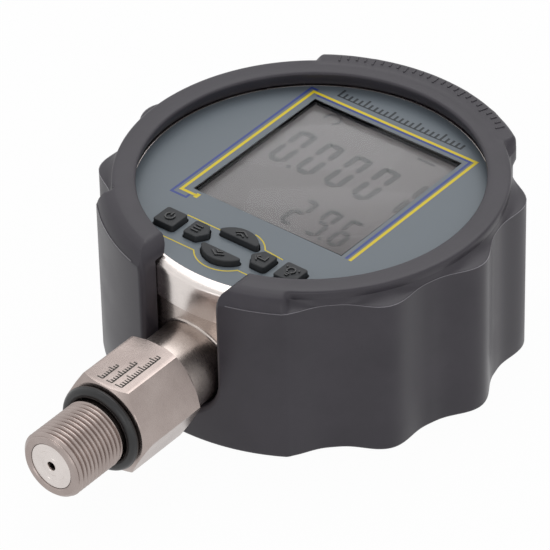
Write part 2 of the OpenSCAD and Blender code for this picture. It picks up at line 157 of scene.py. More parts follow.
def spinOnStem(points, steps=128):
    return spinProfile(points, steps, lambda s, r: alongStem(s, r), alongStem(0), (0, 1, 0))


def plateFrom(outline, bottom, top):
    # a flat outline, extruded upwards
    clearBench()
    bpy.ops.mesh.primitive_circle_add(vertices=len(outline), radius=mm, fill_type="NGON")
    piece = bpy.context.object
    for vertex, point in zip(piece.data.vertices, outline):
        vertex.co = place(point[0], point[1], bottom)
    editAll(piece)
    bpy.ops.mesh.extrude_region_move(TRANSFORM_OT_translate={"value": (0, 0, (top - bottom) * mm)})
    bpy.ops.mesh.select_all(action="SELECT")
    bpy.ops.mesh.normals_make_consistent(inside=False)
    bpy.ops.object.mode_set(mode="OBJECT")
    return piece


def ribbonOutline(line, width):
    # both edges of a line of this width, with mitred corners
    left, right = [], []
    for i, point in enumerate(line):
        here = Vector(point)
        into = (here - Vector(line[i - 1])).normalized() if i > 0 else None
        out = (Vector(line[i + 1]) - here).normalized() if i < len(line) - 1 else None
        into = into or out
        out = out or into
        across = Vector((-into.y - out.y, into.x + out.x)).normalized()
        reach = width / 2 / max(0.3, across.dot(Vector((-into.y, into.x))))
        left.append(here + across * reach)
        right.append(here - across * reach)
    return left + right[::-1]


def ribbon(line, width, bottom, top):
    return plateFrom(ribbonOutline(line, width), bottom, top)


def arcPoints(cx, cy, r, start, end, steps):
    turn = [math.radians(start + (end - start) * i / steps) for i in range(steps + 1)]
    return [(cx + r * math.cos(a), cy + r * math.sin(a)) for a in turn]


def smoothStep(x):
    t = np.clip(x, 0, 1)
    return t * t * (3 - 2 * t)


def mergedCopy(node):
    clearBench()
    source = frame["nodes"][node]
    piece = source.copy()
    piece.data = source.data.copy()
    for key in list(piece.keys()):
        del piece[key]
    bpy.context.scene.collection.objects.link(piece)
    piece.parent = None
    piece.matrix_world = Matrix.Identity(4)
    closeUp(piece, 0.002)
    return piece


def newMaterial(name):
    material = bpy.data.materials.new(name)
    material.use_nodes = True
    tree = material.node_tree
    return material, tree, tree.nodes["Principled BSDF"]


def link(tree, source, target):
    tree.links.new(source, target)


def objectPattern(tree, kind, scale, stretch=(1, 1, 1), **inputs):
    # a noise, wave or cell pattern that keeps to the piece
    coordinates = tree.nodes.new("ShaderNodeTexCoord")
    mapping = tree.nodes.new("ShaderNodeMapping")
    mapping.inputs["Scale"].default_value = stretch
    pattern = tree.nodes.new(kind)
    pattern.inputs["Scale"].default_value = scale
    for name, value in inputs.items():
        pattern.inputs[name].default_value = value
    link(tree, coordinates.outputs["Object"], mapping.inputs["Vector"])
    link(tree, mapping.outputs["Vector"], pattern.inputs["Vector"])
    return pattern


def blendColours(tree, factor, low, high, start=0.35, end=0.65):
    ramp = tree.nodes.new("ShaderNodeValToRGB")
    ramp.color_ramp.elements[0].position = start
    ramp.color_ramp.elements[0].color = (*low, 1)
    ramp.color_ramp.elements[1].position = end
    ramp.color_ramp.elements[1].color = (*high, 1)
    link(tree, factor, ramp.inputs["Fac"])
    return ramp.outputs["Color"]


def spread(tree, factor, low, high):
    remap = tree.nodes.new("ShaderNodeMapRange")
    remap.inputs["From Min"].default_value = 0.3
    remap.inputs["From Max"].default_value = 0.7
    remap.inputs["To Min"].default_value = low
    remap.inputs["To Max"].default_value = high
    link(tree, factor, remap.inputs["Value"])
    return remap.outputs["Result"]


def addBump(tree, shader, height, strength, distance):
    bump = tree.nodes.new("ShaderNodeBump")
    bump.inputs["Strength"].default_value = strength
    bump.inputs["Distance"].default_value = distance * mm
    link(tree, height, bump.inputs["Height"])
    link(tree, bump.outputs["Normal"], shader.inputs["Normal"])


def moulded(name, low, high, rough, grain=2500, bump=0.15, coarse=60, specular=0.5):
    # rubber or plastic with a fine grain and slow changes of shade
    material, tree, shader = newMaterial(name)
    slow = objectPattern(tree, "ShaderNodeTexNoise", coarse, Detail=4, Roughness=0.6)
    fine = objectPattern(tree, "ShaderNodeTexNoise", grain, Detail=3, Roughness=0.6)
    link(tree, blendColours(tree, slow.outputs["Fac"], low, high), shader.inputs["Base Color"])
    link(tree, spread(tree, slow.outputs["Fac"], *rough), shader.inputs["Roughness"])
    addBump(tree, shader, fine.outputs["Fac"], bump, 0.05)
    shader.inputs["Specular IOR Level"].default_value = specular
    return material


def turnedMetal(name, low, high, rough, stretch):
    # fine lathe lines across the given stretch, with slow changes of shade
    material, tree, shader = newMaterial(name)
    lines = objectPattern(tree, "ShaderNodeTexNoise", 700, stretch, Detail=3, Roughness=0.55)
    slow = objectPattern(tree, "ShaderNodeTexNoise", 90, Detail=4, Roughness=0.6)
    link(tree, blendColours(tree, slow.outputs["Fac"], low, high), shader.inputs["Base Color"])
    link(tree, spread(tree, lines.outputs["Fac"], *rough), shader.inputs["Roughness"])
    addBump(tree, shader, lines.outputs["Fac"], 0.006, 0.02)
    shader.inputs["Metallic"].default_value = 1
    return material


def plated(name, low, high, rough):
    material, tree, shader = newMaterial(name)
    slow = objectPattern(tree, "ShaderNodeTexNoise", 500, Detail=4, Roughness=0.6)
    link(tree, blendColours(tree, slow.outputs["Fac"], low, high), shader.inputs["Base Color"])
    link(tree, spread(tree, slow.outputs["Fac"], *rough), shader.inputs["Roughness"])
    shader.inputs["Metallic"].default_value = 1
    return material


def clearPane(name):
    material, tree, shader = newMaterial(name)
    haze = objectPattern(tree, "ShaderNodeTexNoise", 220, Detail=3, Roughness=0.6)
    link(tree, spread(tree, haze.outputs["Fac"], 0.015, 0.045), shader.inputs["Roughness"])
    shader.inputs["Base Color"].default_value = (0.93, 0.95, 0.96, 1)
    shader.inputs["Transmission Weight"].default_value = 1
    shader.inputs["IOR"].default_value = 1.12
    return material


def etchedBoard(name):
    # green mask over copper tracks
    material, tree, shader = newMaterial(name)
    tracks = objectPattern(tree, "ShaderNodeTexBrick", 260)
    tracks.inputs["Mortar Size"].default_value = 0.06
    tracks.inputs["Color1"].default_value = (0.020, 0.115, 0.050, 1)
    tracks.inputs["Color2"].default_value = (0.024, 0.135, 0.058, 1)
    tracks.inputs["Mortar"].default_value = (0.055, 0.215, 0.085, 1)
    link(tree, tracks.outputs["Color"], shader.inputs["Base Color"])
    fine = objectPattern(tree, "ShaderNodeTexNoise", 900, Detail=2)
    link(tree, spread(tree, fine.outputs["Fac"], 0.3, 0.42), shader.inputs["Roughness"])
    addBump(tree, shader, tracks.outputs["Fac"], 0.3, 0.04)
    return material


def striped(name):
    # thin dark carbon layers between pink silicone
    material, tree, shader = newMaterial(name)
    layers = objectPattern(tree, "ShaderNodeTexWave", 900, Distortion=0.3)
    colour = blendColours(tree, layers.outputs["Fac"], (0.52, 0.13, 0.17), (0.03, 0.03, 0.03), 0.45, 0.55)
    link(tree, colour, shader.inputs["Base Color"])
    shader.inputs["Roughness"].default_value = 0.6
    return material


acrossDial = (1, 1, 22)
acrossStem = (1, 22, 1)
finishes = {
    "boot_rubber": (moulded, (0.043, 0.039, 0.048), (0.056, 0.051, 0.061), (0.34, 0.46),
                    {"grain": 1800, "bump": 0.08, "coarse": 45, "specular": 0.32}),
    # painted highlight: a much lighter copy of the boot's rubber, so that the mould's ridge looks lit along
    # the shoulder's edge
    "rubber_edge": (moulded, (0.16, 0.15, 0.17), (0.22, 0.21, 0.23), (0.25, 0.35), {"bump": 0.02}),
    "case_steel": (turnedMetal, (0.52, 0.455, 0.42), (0.58, 0.515, 0.48), (0.25, 0.31),
                   {"stretch": acrossDial}),
    "bezel_steel": (turnedMetal, (0.64, 0.585, 0.56), (0.72, 0.665, 0.635), (0.18, 0.28),
                    {"stretch": acrossDial}),
    "stem_steel": (turnedMetal, (0.345, 0.288, 0.268), (0.405, 0.345, 0.322), (0.24, 0.34),
                   {"stretch": acrossStem}),
    # painted light: a lighter copy of the stem's steel for the neck and its weld, toned to stand in for how
    # light falls on the neck
    "neck_steel": (turnedMetal, (0.47, 0.41, 0.38), (0.54, 0.48, 0.445), (0.24, 0.34),
                   {"stretch": acrossStem}),
    "seal_rubber": (moulded, (0.008, 0.008, 0.009), (0.013, 0.013, 0.014), (0.32, 0.42), {}),
    "overlay_film": (moulded, (0.136, 0.163, 0.186), (0.148, 0.175, 0.198), (0.42, 0.50),
                     {"grain": 4200, "bump": 0.12, "coarse": 25}),
    "panel_plastic": (moulded, (0.018, 0.019, 0.022), (0.026, 0.027, 0.030), (0.45, 0.6), {}),
    "display_grey": (moulded, (0.184, 0.164, 0.162), (0.195, 0.175, 0.173), (0.28, 0.34),
                     {"grain": 6000, "bump": 0.0, "coarse": 18}),
    "segment_grey": (moulded, (0.112, 0.103, 0.104), (0.120, 0.111, 0.112), (0.28, 0.34), {"bump": 0.02}),
    "diffuser_white": (moulded, (0.80, 0.80, 0.76), (0.86, 0.86, 0.82), (0.3, 0.4), {}),
    "chip_black": (moulded, (0.010, 0.010, 0.012), (0.018, 0.018, 0.020), (0.5, 0.65), {"grain": 6000}),
    "screw_steel": (plated, (0.55, 0.55, 0.56), (0.68, 0.68, 0.69), (0.25, 0.4), {}),
    "key_rubber": (moulded, (0.021, 0.023, 0.026), (0.029, 0.031, 0.034), (0.50, 0.62),
                   {"grain": 5200, "bump": 0.14, "coarse": 120, "specular": 0.35}),
    "key_gloss": (moulded, (0.012, 0.013, 0.015), (0.018, 0.019, 0.021), (0.22, 0.30), {"bump": 0.03}),
    "dome_metal": (plated, (0.62, 0.56, 0.42), (0.72, 0.66, 0.50), (0.2, 0.3), {}),
    "tray_plastic": (moulded, (0.020, 0.021, 0.024), (0.030, 0.031, 0.034), (0.45, 0.6), {}),
    "cell_jacket": (moulded, (0.42, 0.22, 0.035), (0.50, 0.27, 0.045), (0.22, 0.32), {"bump": 0.03}),
    "contact_metal": (plated, (0.60, 0.58, 0.52), (0.70, 0.68, 0.62), (0.22, 0.36), {}),
    "door_plastic": (moulded, (0.026, 0.028, 0.031), (0.038, 0.040, 0.044), (0.5, 0.65),
                     {"grain": 3000, "bump": 0.3}),
    "ribbon_film": (moulded, (0.60, 0.55, 0.44), (0.68, 0.63, 0.52), (0.35, 0.5), {}),
    "line_yellow": (moulded, (0.72, 0.55, 0.012), (0.78, 0.61, 0.016), (0.45, 0.55), {"bump": 0.05}),
    "line_blue": (moulded, (0.030, 0.052, 0.240), (0.040, 0.064, 0.275), (0.45, 0.55), {"bump": 0.05}),
    "line_dark": (moulded, (0.018, 0.023, 0.028), (0.026, 0.031, 0.037), (0.45, 0.55), {"bump": 0.05}),
    "etch_dark": (moulded, (0.050, 0.044, 0.038), (0.090, 0.080, 0.070), (0.55, 0.7), {"bump": 0.1}),
}
materials = {"window_clear": clearPane("window_clear"), "strip_pink": striped("strip_pink"),
             "board_green": etchedBoard("board_green")}
for name, (make, low, high, rough, rest) in finishes.items():
    materials[name] = make(name, low, high, rough, **rest)
print("finishes ready")

for row in frame["record"]["subparts"]:
    node = frame["nodes"][row["node"]]
    node.data.materials.clear()
    node.data.materials.append(materials[row["material_slot"]])


boot = {
    "backHole": 40.0, "floor": 5.0, "cavity": 53.8,
    "crest": 59.65, "valley": 55.35, "lobes": 12, "sharpness": 1.35, "phase": 0.8, "baseRound": 1.0,
    "postLeft": 44.5, "postRight": 30.5, "postCorner": 2.4, "postCheek": 2.6,
    "padHalf": 37.0, "padCheek": 4.6, "padOut": 59.5,
    "foot": 55.15, "steps": 720,
    "notch": 12.4, "flareOut": 2.0, "topFlareWide": 5.0, "topFlareHigh": 7.5,
}
rimTop = dialZ + 5.5
wallBreak = dialZ - 4.5     # the wall's profile changes above this


def overDial(points):
    # heights over the dial's face become heights in the frame
    return [(r, dialZ + z) for r, z in points]


def postShare(theta, cheek):
    # 1 over the two posts beside the stem, 0 away from them, with angles in degrees
    away = (theta - 270 + 180) % 360 - 180
    past = np.maximum(away - boot["postRight"], -away - boot["postLeft"])
    return 1 - smoothStep(past / cheek)


def bootRadius(theta):
    # outer radius of the wall at each angle
    swell = ((1 + np.cos(np.radians(boot["lobes"] * (theta + boot["phase"])))) / 2) ** boot["sharpness"]
    lobed = boot["valley"] + (boot["crest"] - boot["valley"]) * swell
    return lobed + (boot["crest"] - lobed) * postShare(theta, boot["postCorner"])


def bootUpper():
    # outer wall, shoulder and rim at a crest: radius and height over the dial's face
    edge, foot = boot["crest"], boot["foot"]
    wall = [(edge, -4.5), (edge, -2.0), (edge, -0.4), (edge, 0.6)]
    brow = [(edge, 0.9), (edge - 0.06, 1.08), (edge - 0.2, 1.2), (edge - 0.45, 1.25)]
    slope = [(edge - 1.1, 1.32), (edge - 1.9, 1.5), (edge - 2.7, 1.8), (foot + 1.0, 2.15),
             (foot + 0.45, 2.5), (foot + 0.12, 2.75), (foot - 0.06, 2.95), (foot - 0.04, 3.2)]
    rim = [(foot, 3.5), (foot, 4.2), (foot - 0.04, 4.75), (foot - 0.16, 5.1), (foot - 0.42, 5.32),
           (foot - 0.85, 5.43), (foot - 1.7, 5.48), (52.3, 5.5)]
    return overDial(wall + brow + slope + rim)


def bootLower():
    # from the crown's top in over the lip, down the cavity and out along the back
    lip = [(51.3, rimTop - 0.02), (50.2, rimTop - 0.08), (49.3, rimTop - 0.2), (48.78, rimTop - 0.36),
           (48.5, rimTop - 0.62), (48.42, rimTop - 1.0), (48.55, rimTop - 1.7), (49.05, dialZ + 2.4),
           (49.75, dialZ + 1.2), (50.1, dialZ + 0.65), (50.3, dialZ + 0.36), (50.6, dialZ + 0.3)]
    cavity = [(boot["cavity"] - 0.3, dialZ + 0.3), (boot["cavity"], dialZ), (boot["cavity"], dialZ - 6),
              (boot["cavity"], 30), (boot["cavity"], 16), (boot["cavity"], boot["floor"] + 0.3),
              (boot["cavity"] - 0.3, boot["floor"])]
    floor = [(46.5, boot["floor"]), (boot["backHole"] + 0.6, boot["floor"]), (boot["backHole"] + 0.15, 4.85),
             (boot["backHole"], 4.4), (boot["backHole"], 0.7), (boot["backHole"] + 0.2, 0.2),
             (boot["backHole"] + 0.7, 0), (46, 0), (51, 0)]
    r = boot["baseRound"]
    base = [(boot["crest"] - r + r * math.sin(math.radians(a)), r - r * math.cos(math.radians(a)))
            for a in range(0, 91, 15)]
    wall = [(boot["crest"], z) for z in (7, 13, 19, 25, 31, 37, 41)]
    return lip + cavity + floor + base + wall


def resample(line, shares):
    line = np.array(line, float)
    lengths = np.concatenate([[0], np.cumsum(np.hypot(*np.diff(line, axis=0).T))])
    lengths /= lengths[-1]
    return np.column_stack([np.interp(shares, lengths, line[:, 0]), np.interp(shares, lengths, line[:, 1])])


def padOutline(edge):
    out, brim = boot["padOut"], max(edge, boot["padOut"])
    return overDial([(edge, -4.5), (brim, -2.6), (brim, -1), (out, 0.5), (out, 3.6), (out - 0.25, 4.3),
                     (out - 0.8, 4.75), (out - 1.5, 4.9), (boot["foot"], 4.95), (53.6, 5.15), (52.3, 5.5)])


def postOutline(edge):
    return overDial([(edge, -4.5), (edge, 0.3), (edge - 0.04, 0.8), (edge - 0.2, 1.1), (edge - 0.7, 2.4),
                     (edge - 1.4, 3.5), (edge - 2.4, 4.4), (edge - 3.8, 4.95), (54.4, 5.35), (52.3, 5.5)])


def shapeBoot(piece, upper, profile):
    # move each spun point to its lobe, pad or post
    co = np.empty(len(piece.data.vertices) * 3)
    piece.data.vertices.foreach_get("co", co)
    co = co.reshape(-1, 3) / mm
    co[:, 1] -= dialY
    r = np.hypot(co[:, 0], co[:, 1])
    theta = np.degrees(np.arctan2(co[:, 1], co[:, 0])) % 360
    table = np.array(profile)
    nearest = np.argmin((r[:, None] - table[:, 0]) ** 2 + (co[:, 2][:, None] - table[:, 1]) ** 2, axis=1)
    newR, newZ = r.copy(), co[:, 2].copy()
    inUpper = nearest < len(upper)
    outside = ~inUpper & (table[nearest, 0] > boot["cavity"] + 0.01) & (co[:, 2] < wallBreak)
    newR[outside] -= boot["crest"] - bootRadius(theta)[outside]
    base = np.array(upper)
    lengths = np.concatenate([[0], np.cumsum(np.hypot(*np.diff(base, axis=0).T))])
    shares = lengths / lengths[-1]
    angles = np.unique(np.round(theta, 3))
    away = np.abs((angles - 90 + 180) % 360 - 180)
    padShares = 1 - smoothStep((away - boot["padHalf"]) / boot["padCheek"] + 0.5)
    postShares = postShare(angles, boot["postCheek"])
    column = np.searchsorted(angles, np.round(theta, 3))
    foot, wide = boot["foot"], base[:, 0] > boot["foot"]
    for i, edge in enumerate(bootRadius(angles)):
        curve = base.copy()
        curve[wide, 0] = foot + (curve[wide, 0] - foot) * (edge - foot) / (boot["crest"] - foot)
        for share, outline in ((padShares[i], padOutline), (postShares[i], postOutline)):
            if share > 0:
                curve = curve + (resample(outline(edge), shares) - curve) * share
        here = np.nonzero((column == i) & inUpper)[0]
        newR[here] = curve[nearest[here], 0]
        newZ[here] = curve[nearest[here], 1]
    co[:, 0] = newR * np.cos(np.radians(theta))
    co[:, 1] = newR * np.sin(np.radians(theta)) + dialY
    co[:, 2] = newZ
    piece.data.vertices.foreach_set("co", (co * mm).reshape(-1))
    piece.data.update()


def notchOutline(grow):
    # U round the stem's neck, whose upper corners roll over
    width = boot["notch"] + grow
    top = rimTop + 0.05 - stemZ
    wide, high = boot["topFlareWide"], boot["topFlareHigh"]
    side = [(width, y) for y in (4, 9, 14, top - high)]
    side += [(width + wide * (1 - math.cos(math.radians(a))), top - high * (1 - math.sin(math.radians(a))))
             for a in range(9, 91, 9)]
    side += [(width + wide, top + 4), (width / 2, top + 4)]
    under = arcPoints(0, 0, width, 180, 360, 36)
    return under + side + [(-x, y) for x, y in side[::-1]]


def notchCutter():
    reach = boot["crest"] + 0.05
    flare = boot["flareOut"]
    rings = [(38, 0), (48, 0), (54, 0), (reach - flare, 0)]
    rings += [(reach - flare + flare * math.sin(math.radians(a)), flare * (1 - math.cos(math.radians(a))))
              for a in range(15, 91, 15)]
    rings += [(reach + 2.5, flare)]
    count = len(notchOutline(0))
    clearBench()
    bpy.ops.mesh.primitive_circle_add(vertices=count, radius=1, fill_type="NGON")
    cutter = bpy.context.object
    angles = [math.atan2(v.co.y, v.co.x) for v in cutter.data.vertices]
    editAll(cutter)
    for ring in rings[1:]:
        bpy.ops.mesh.extrude_region_move(TRANSFORM_OT_translate={"value": (0, 0, 1)})
    bpy.ops.object.mode_set(mode="OBJECT")
    for vertex in cutter.data.vertices:
        ring = rings[round(vertex.co.z)]
        here = math.atan2(vertex.co.y, vertex.co.x)
        index = min(range(count), key=lambda i: abs((angles[i] - here + math.pi) % fullTurn - math.pi))
        x, z = notchOutline(ring[1])[index]
        vertex.co = place(x, -math.sqrt(ring[0] ** 2 - x ** 2), stemZ + z)
    closeUp(cutter)
    return cutter


def makeBoot():
    upper = bootUpper()
    profile = upper + bootLower()
    piece = spinOnDial(profile, boot["steps"])
    shapeBoot(piece, upper, profile)
    closeUp(piece)
    combine(piece, notchCutter())
    closeUp(piece, 0.01)
    return finishPiece(piece, "rubber_boot_skin", "gauge", "boot_rubber", ["rubber_boot"], angle=38)


padTicks = {"from": 60, "to": 120, "step": 2.5, "inner": 56.1, "outer": 58.0, "wide": 0.6,
            "base": dialZ + 4.6, "top": dialZ + 5.2}


def makePadTicks():
    # a plain raised scale on the boot's pad
    ticks = []
    count = int((padTicks["to"] - padTicks["from"]) / padTicks["step"])
    for i in range(count + 1):
        a = math.radians(padTicks["from"] + i * padTicks["step"])
        inner = padTicks["inner"] - (0.9 if i % 4 == 0 else 0)
        line = [(r * math.cos(a), r * math.sin(a)) for r in (inner, padTicks["outer"])]
        tick = ribbon(line, padTicks["wide"], padTicks["base"], padTicks["top"])
        softEdges(tick, 0.14, 2)
        ticks.append(tick)
    finishPiece(joinPieces(ticks), "boot_pad_ticks", "gauge", "boot_rubber", angle=50)


partingLine = {"spans": [(-74.5, 48), (132, 254.5)], "step": 1.5, "inset": 0.04, "wide": 0.18,
               "base": dialZ + 0.98, "top": dialZ + 1.16}


def makePartingLine():
    # the thin ridge left by the mould along the shoulder's edge, coloured lighter as a painted highlight
    strips = []
    for start, end in partingLine["spans"]:
        turn = np.arange(start, end + 0.1, partingLine["step"])
        radii = bootRadius(turn % 360) - partingLine["inset"]
        line = [(r * math.cos(a), r * math.sin(a)) for r, a in zip(radii, np.radians(turn))]
        strips.append(ribbon(line, partingLine["wide"], partingLine["base"], partingLine["top"]))
    # the ridge's lighter colour is a painted highlight, not a colour of the rubber
    finishPiece(joinPieces(strips), "boot_parting_line", "gauge", "boot_rubber", angle=50,
                material="rubber_edge")


makeBoot()
makePadTicks()
makePartingLine()
print("boot done")


bezel = {"inner": 49.63, "seat": 46.4, "spigot": 51.8, "outer": 53.6, "skirt": 37.0}


def makeBezel():
    outer, inner, spigot = bezel["outer"], bezel["inner"], bezel["spigot"]
    seat, skirt = bezel["seat"], bezel["skirt"]
    profile = [(inner, seat), (spigot, seat), (spigot, skirt + 0.3), (spigot + 0.3, skirt),
               (outer - 0.3, skirt), (outer, skirt + 0.3)]
    profile += overDial([(outer, -4), (outer, -1.5), (outer - 0.06, -1.15), (outer - 0.24, -0.88),
                         (outer - 0.5, -0.7), (outer - 1.0, -0.46), (outer - 1.8, -0.18),
                         (outer - 2.7, 0.02), (outer - 3.3, 0.08), (inner + 0.1, 0.08), (inner + 0.02, 0.04),
                         (inner, -0.03)])
    finishPiece(spinOnDial(profile, 300), "bezel_band", "gauge", "bezel_steel", ["bezel_ring"], angle=25)


stem = {
    "caseR": 53.0, "neckR": 11.6, "weld": 0.75, "join": 66.0, "root": 50.9, "shankR": 8.95,
    "hexBack": 67.0, "sealFace": 90.0, "threadStart": 93.5, "end": 112.2,
    "hexFlats": 27.0, "relief": 9.3, "threadR": 10.0, "pitch": 1.5, "depth": 0.85,
    "passage": 3.0, "chamberR": 6.6, "chamberEnd": 85.4, "pocketR": 6.92, "pocketEnd": 110.3,
    "discR": 6.87, "orifice": 1.3,
    "ringR": 11.2, "ringThick": 1.6,
}


def makeHexagon():
    flats = stem["hexFlats"] / 2
    length = stem["sealFace"] - stem["hexBack"]
    middle = (stem["sealFace"] + stem["hexBack"]) / 2
    clearBench()
    bpy.ops.mesh.primitive_cylinder_add(vertices=6, radius=flats / math.cos(math.pi / 6) * mm,
                                        depth=length * mm, location=alongStem(middle))
    hexagon = bpy.context.object
    editAll(hexagon)
    centre = tuple(alongStem(middle))
    bpy.ops.transform.rotate(value=math.pi / 2, orient_axis="Z", center_override=centre)
    bpy.ops.transform.rotate(value=math.pi / 2, orient_axis="X", center_override=centre)
    settle(hexagon)
    softEdges(hexagon, 0.35, 2)
    # both ends are turned to a cone, so one half of the outline serves for the other
    half = [(-0.5, 0.4), (-0.5, 4), (-0.02, flats - 0.4), (0.02, flats - 0.25), (0.15, flats),
            (1.75, flats + 2.35), (2.6, flats + 3.2)]
    outline = [(stem["hexBack"] + s, r) for s, r in half]
    outline += [(stem["sealFace"] - s, r) for s, r in half[::-1]]
    combine(hexagon, spinOnStem(outline, 160), "INTERSECT")
    return hexagon


def makeThread():
    # one pitch of the thread's outline, screwed along the stem
    start, end = stem["threadStart"], stem["end"]
    major, minor, pitch = stem["threadR"], stem["threadR"] - stem["depth"], stem["pitch"]
    turns = int((end - start) / pitch) + 5
    clearBench()
    bpy.ops.mesh.primitive_plane_add(size=mm, location=(0, 0, 0))
    thread = bpy.context.object
    editAll(thread)
    bpy.ops.mesh.merge(type="CENTER")
    outline = [(0.0, minor), (0.18, minor), (0.66, major - 0.06), (0.72, major), (0.90, major),
               (0.96, major - 0.06), (1.44, minor), (pitch, minor)]
    here = Vector((0, 0, 0))
    for along, r in outline:
        there = Vector((r, 0, along)) * mm
        if along == 0:
            bpy.ops.transform.translate(value=there - here)
        else:
            bpy.ops.mesh.extrude_vertices_move(TRANSFORM_OT_translate={"value": there - here})
        here = there
    bpy.ops.object.mode_set(mode="OBJECT")
    apply(thread, "SCREW", angle=fullTurn, screw_offset=pitch * mm, iterations=turns, steps=72,
          render_steps=72, axis="Z", use_merge_vertices=True, merge_threshold=0.002 * mm)
    editAll(thread)
    bpy.ops.mesh.remove_doubles(threshold=0.002 * mm)
    bpy.ops.transform.translate(value=(0, 0, -2.2 * pitch * mm))
    for height, sign in ((-0.8, 1), (end - start + 0.6, -1)):
        bpy.ops.mesh.select_all(action="SELECT")
        bpy.ops.mesh.bisect(plane_co=(0, 0, height * mm), plane_no=(0, 0, sign), use_fill=True,
                            clear_inner=True)
    bpy.ops.mesh.select_all(action="SELECT")
    bpy.ops.mesh.normals_make_consistent(inside=False)
    bpy.ops.object.mode_set(mode="OBJECT")
    turn = Matrix.Translation(alongStem(start)) @ Matrix.Rotation(math.pi / 2, 4, "X")
    thread.data.transform(turn)
    trim = spinOnStem([(start - 0.3, 0.4), (start - 0.3, minor - 0.1), (start + 0.1, minor),
                       (start + 0.95, major + 0.1), (end - 1.3, major + 0.1), (end - 0.05, major - 1.15),
                       (end, major - 1.25), (end, 0.4)], 160)
    combine(thread, trim, "INTERSECT")
    return thread


def makeNeck():
    # the root inside the case is the frame's own, and the neck outside it is turned afresh
    inner, outer, shank = stem["chamberR"], stem["neckR"], stem["shankR"]
    rootEnd, neckEnd = stem["root"], stem["hexBack"] + 0.3
    root = mergedCopy("process_connector")
    editAll(root)
    bpy.ops.mesh.bisect(plane_co=alongStem(rootEnd), plane_no=(0, -1, 0), use_fill=True, clear_outer=True)
    bpy.ops.object.mode_set(mode="OBJECT")
    neck = spinOnStem([(45, inner), (45, outer), (neckEnd, outer), (neckEnd, inner)], 160)
    caseBody = spinOnDial([(1, 0), (stem["caseR"], 0), (stem["caseR"], 44), (1, 44)], 320)
    combine(neck, caseBody)
    through = spinOnStem([(rootEnd, inner), (rootEnd, shank), (54, shank), (54, inner)], 160)
    combine(neck, through, "UNION")
    closeUp(neck, 0.002)
    finishPiece(root, "stem_root", "gauge", "stem_steel", ["process_connector"], angle=25)
    # the neck's lighter steel is painted light; it is the same metal as the hexagon
    finishPiece(neck, "stem_neck", "gauge", "stem_steel", ["process_connector"], angle=25,
                material="neck_steel")


def makeStem():
    join, hexBack, sealFace = stem["join"], stem["hexBack"], stem["sealFace"]
    threadStart, end, relief = stem["threadStart"], stem["end"], stem["relief"]
    neckR = stem["neckR"] - 0.08
    core = spinOnStem([(join - 0.6, 3.0), (join - 0.6, neckR), (hexBack + 0.8, neckR), (hexBack + 0.8, 12.0),
                       (sealFace - 0.8, 12.0), (sealFace - 0.8, 9.6), (sealFace + 0.15, 9.5),
                       (sealFace + 0.4, relief), (threadStart + 0.4, relief), (threadStart + 0.4, 8.9),
                       (end - 0.6, 8.4), (end - 0.6, 3.0)], 128)
    combine(core, makeHexagon(), "UNION")
    combine(core, makeThread(), "UNION")
    passage, chamber, chamberEnd = stem["passage"], stem["chamberR"], stem["chamberEnd"]
    pocket, pocketEnd = stem["pocketR"], stem["pocketEnd"]
    bore = spinOnStem([(join - 2, 0.3), (join - 2, chamber), (chamberEnd, chamber), (chamberEnd, passage),
                       (pocketEnd, passage), (pocketEnd, pocket), (end - 0.35, pocket),
                       (end + 0.1, pocket + 0.45), (end + 1, pocket + 0.5), (end + 1, 0.3)], 128)
    combine(core, bore)
    closeUp(core, 0.002)
    finishPiece(core, "stem_hexagon_thread", "gauge", "stem_steel", ["process_connector"], angle=25)


def makeWeld():
    # bead where the neck meets the round case
    segments, sides = 160, 8
    clearBench()
    bpy.ops.mesh.primitive_torus_add(major_segments=segments, minor_segments=sides, major_radius=1,
                                     minor_radius=0.2)
    weld = bpy.context.object
    neckR, size = stem["neckR"], stem["weld"]
    section = [(neckR - 0.1, -0.25), (neckR + size + 0.1, -0.25), (neckR + size, 0.02),
               (neckR + 0.62 * size, 0.12 * size), (neckR + 0.32 * size, 0.32 * size),
               (neckR + 0.12 * size, 0.62 * size), (neckR + 0.02, size), (neckR - 0.1, size)]
    for vertex in weld.data.vertices:
        around = math.atan2(vertex.co.y, vertex.co.x)
        out = math.hypot(vertex.co.x, vertex.co.y) - 1
        side = round(math.atan2(vertex.co.z, out) / fullTurn * sides) % sides
        r, lift = section[side]
        x = r * math.cos(around)
        vertex.co = place(x, -math.sqrt(stem["caseR"] ** 2 - x ** 2) - lift, stemZ + r * math.sin(around))
    closeUp(weld)
    # the weld takes the neck's painted-light tone of steel
    finishPiece(weld, "neck_weld", "gauge", "stem_steel", angle=50, material="neck_steel")


def makeSealAndDisc():
    r, thick = stem["ringR"], stem["ringThick"]
    middle = stem["sealFace"] + 0.05 + thick
    section = [(middle + thick * math.cos(math.radians(a)), r + thick * math.sin(math.radians(a)))
               for a in list(range(0, 84, 12)) + [86, 88, 90, 92, 94] + list(range(96, 360, 12))]
    section = [(s, q + 0.07 if abs(s - middle) < 0.06 and q > r else q) for s, q in section]
    ring = spinOnStem(section, 160)
    finishPiece(ring, "stem_seal_ring", "gauge", "seal_rubber", ["sealing_ring"], angle=50)
    back, front = stem["pocketEnd"] + 0.02, stem["end"] - 0.3
    edge, hole = stem["discR"], stem["orifice"]
    profile = [(back, hole), (back, edge - 0.2), (back + 0.2, edge), (front - 0.3, edge),
               (front - 0.08, edge - 0.1), (front, edge - 0.35), (front, 4.6), (front - 0.12, 4.45),
               (front - 0.12, 3.0), (front - 0.02, 2.8), (front, hole + 0.35), (front - 0.12, hole + 0.1),
               (front - 0.35, hole)]
    disc = spinOnStem(profile, 128)
    finishPiece(disc, "stem_orifice_disc", "gauge", "stem_steel", ["orifice_disc"], angle=25,
                material="bezel_steel")


etching = {"face": stemZ + stem["hexFlats"] / 2, "thick": 0.02,
           "rows": [(4.6, 2.3, 18), (1.2, 1.9, 12), (-2.0, 1.9, 8)],
           "start": 87.5, "step": 0.95, "line": 0.45}


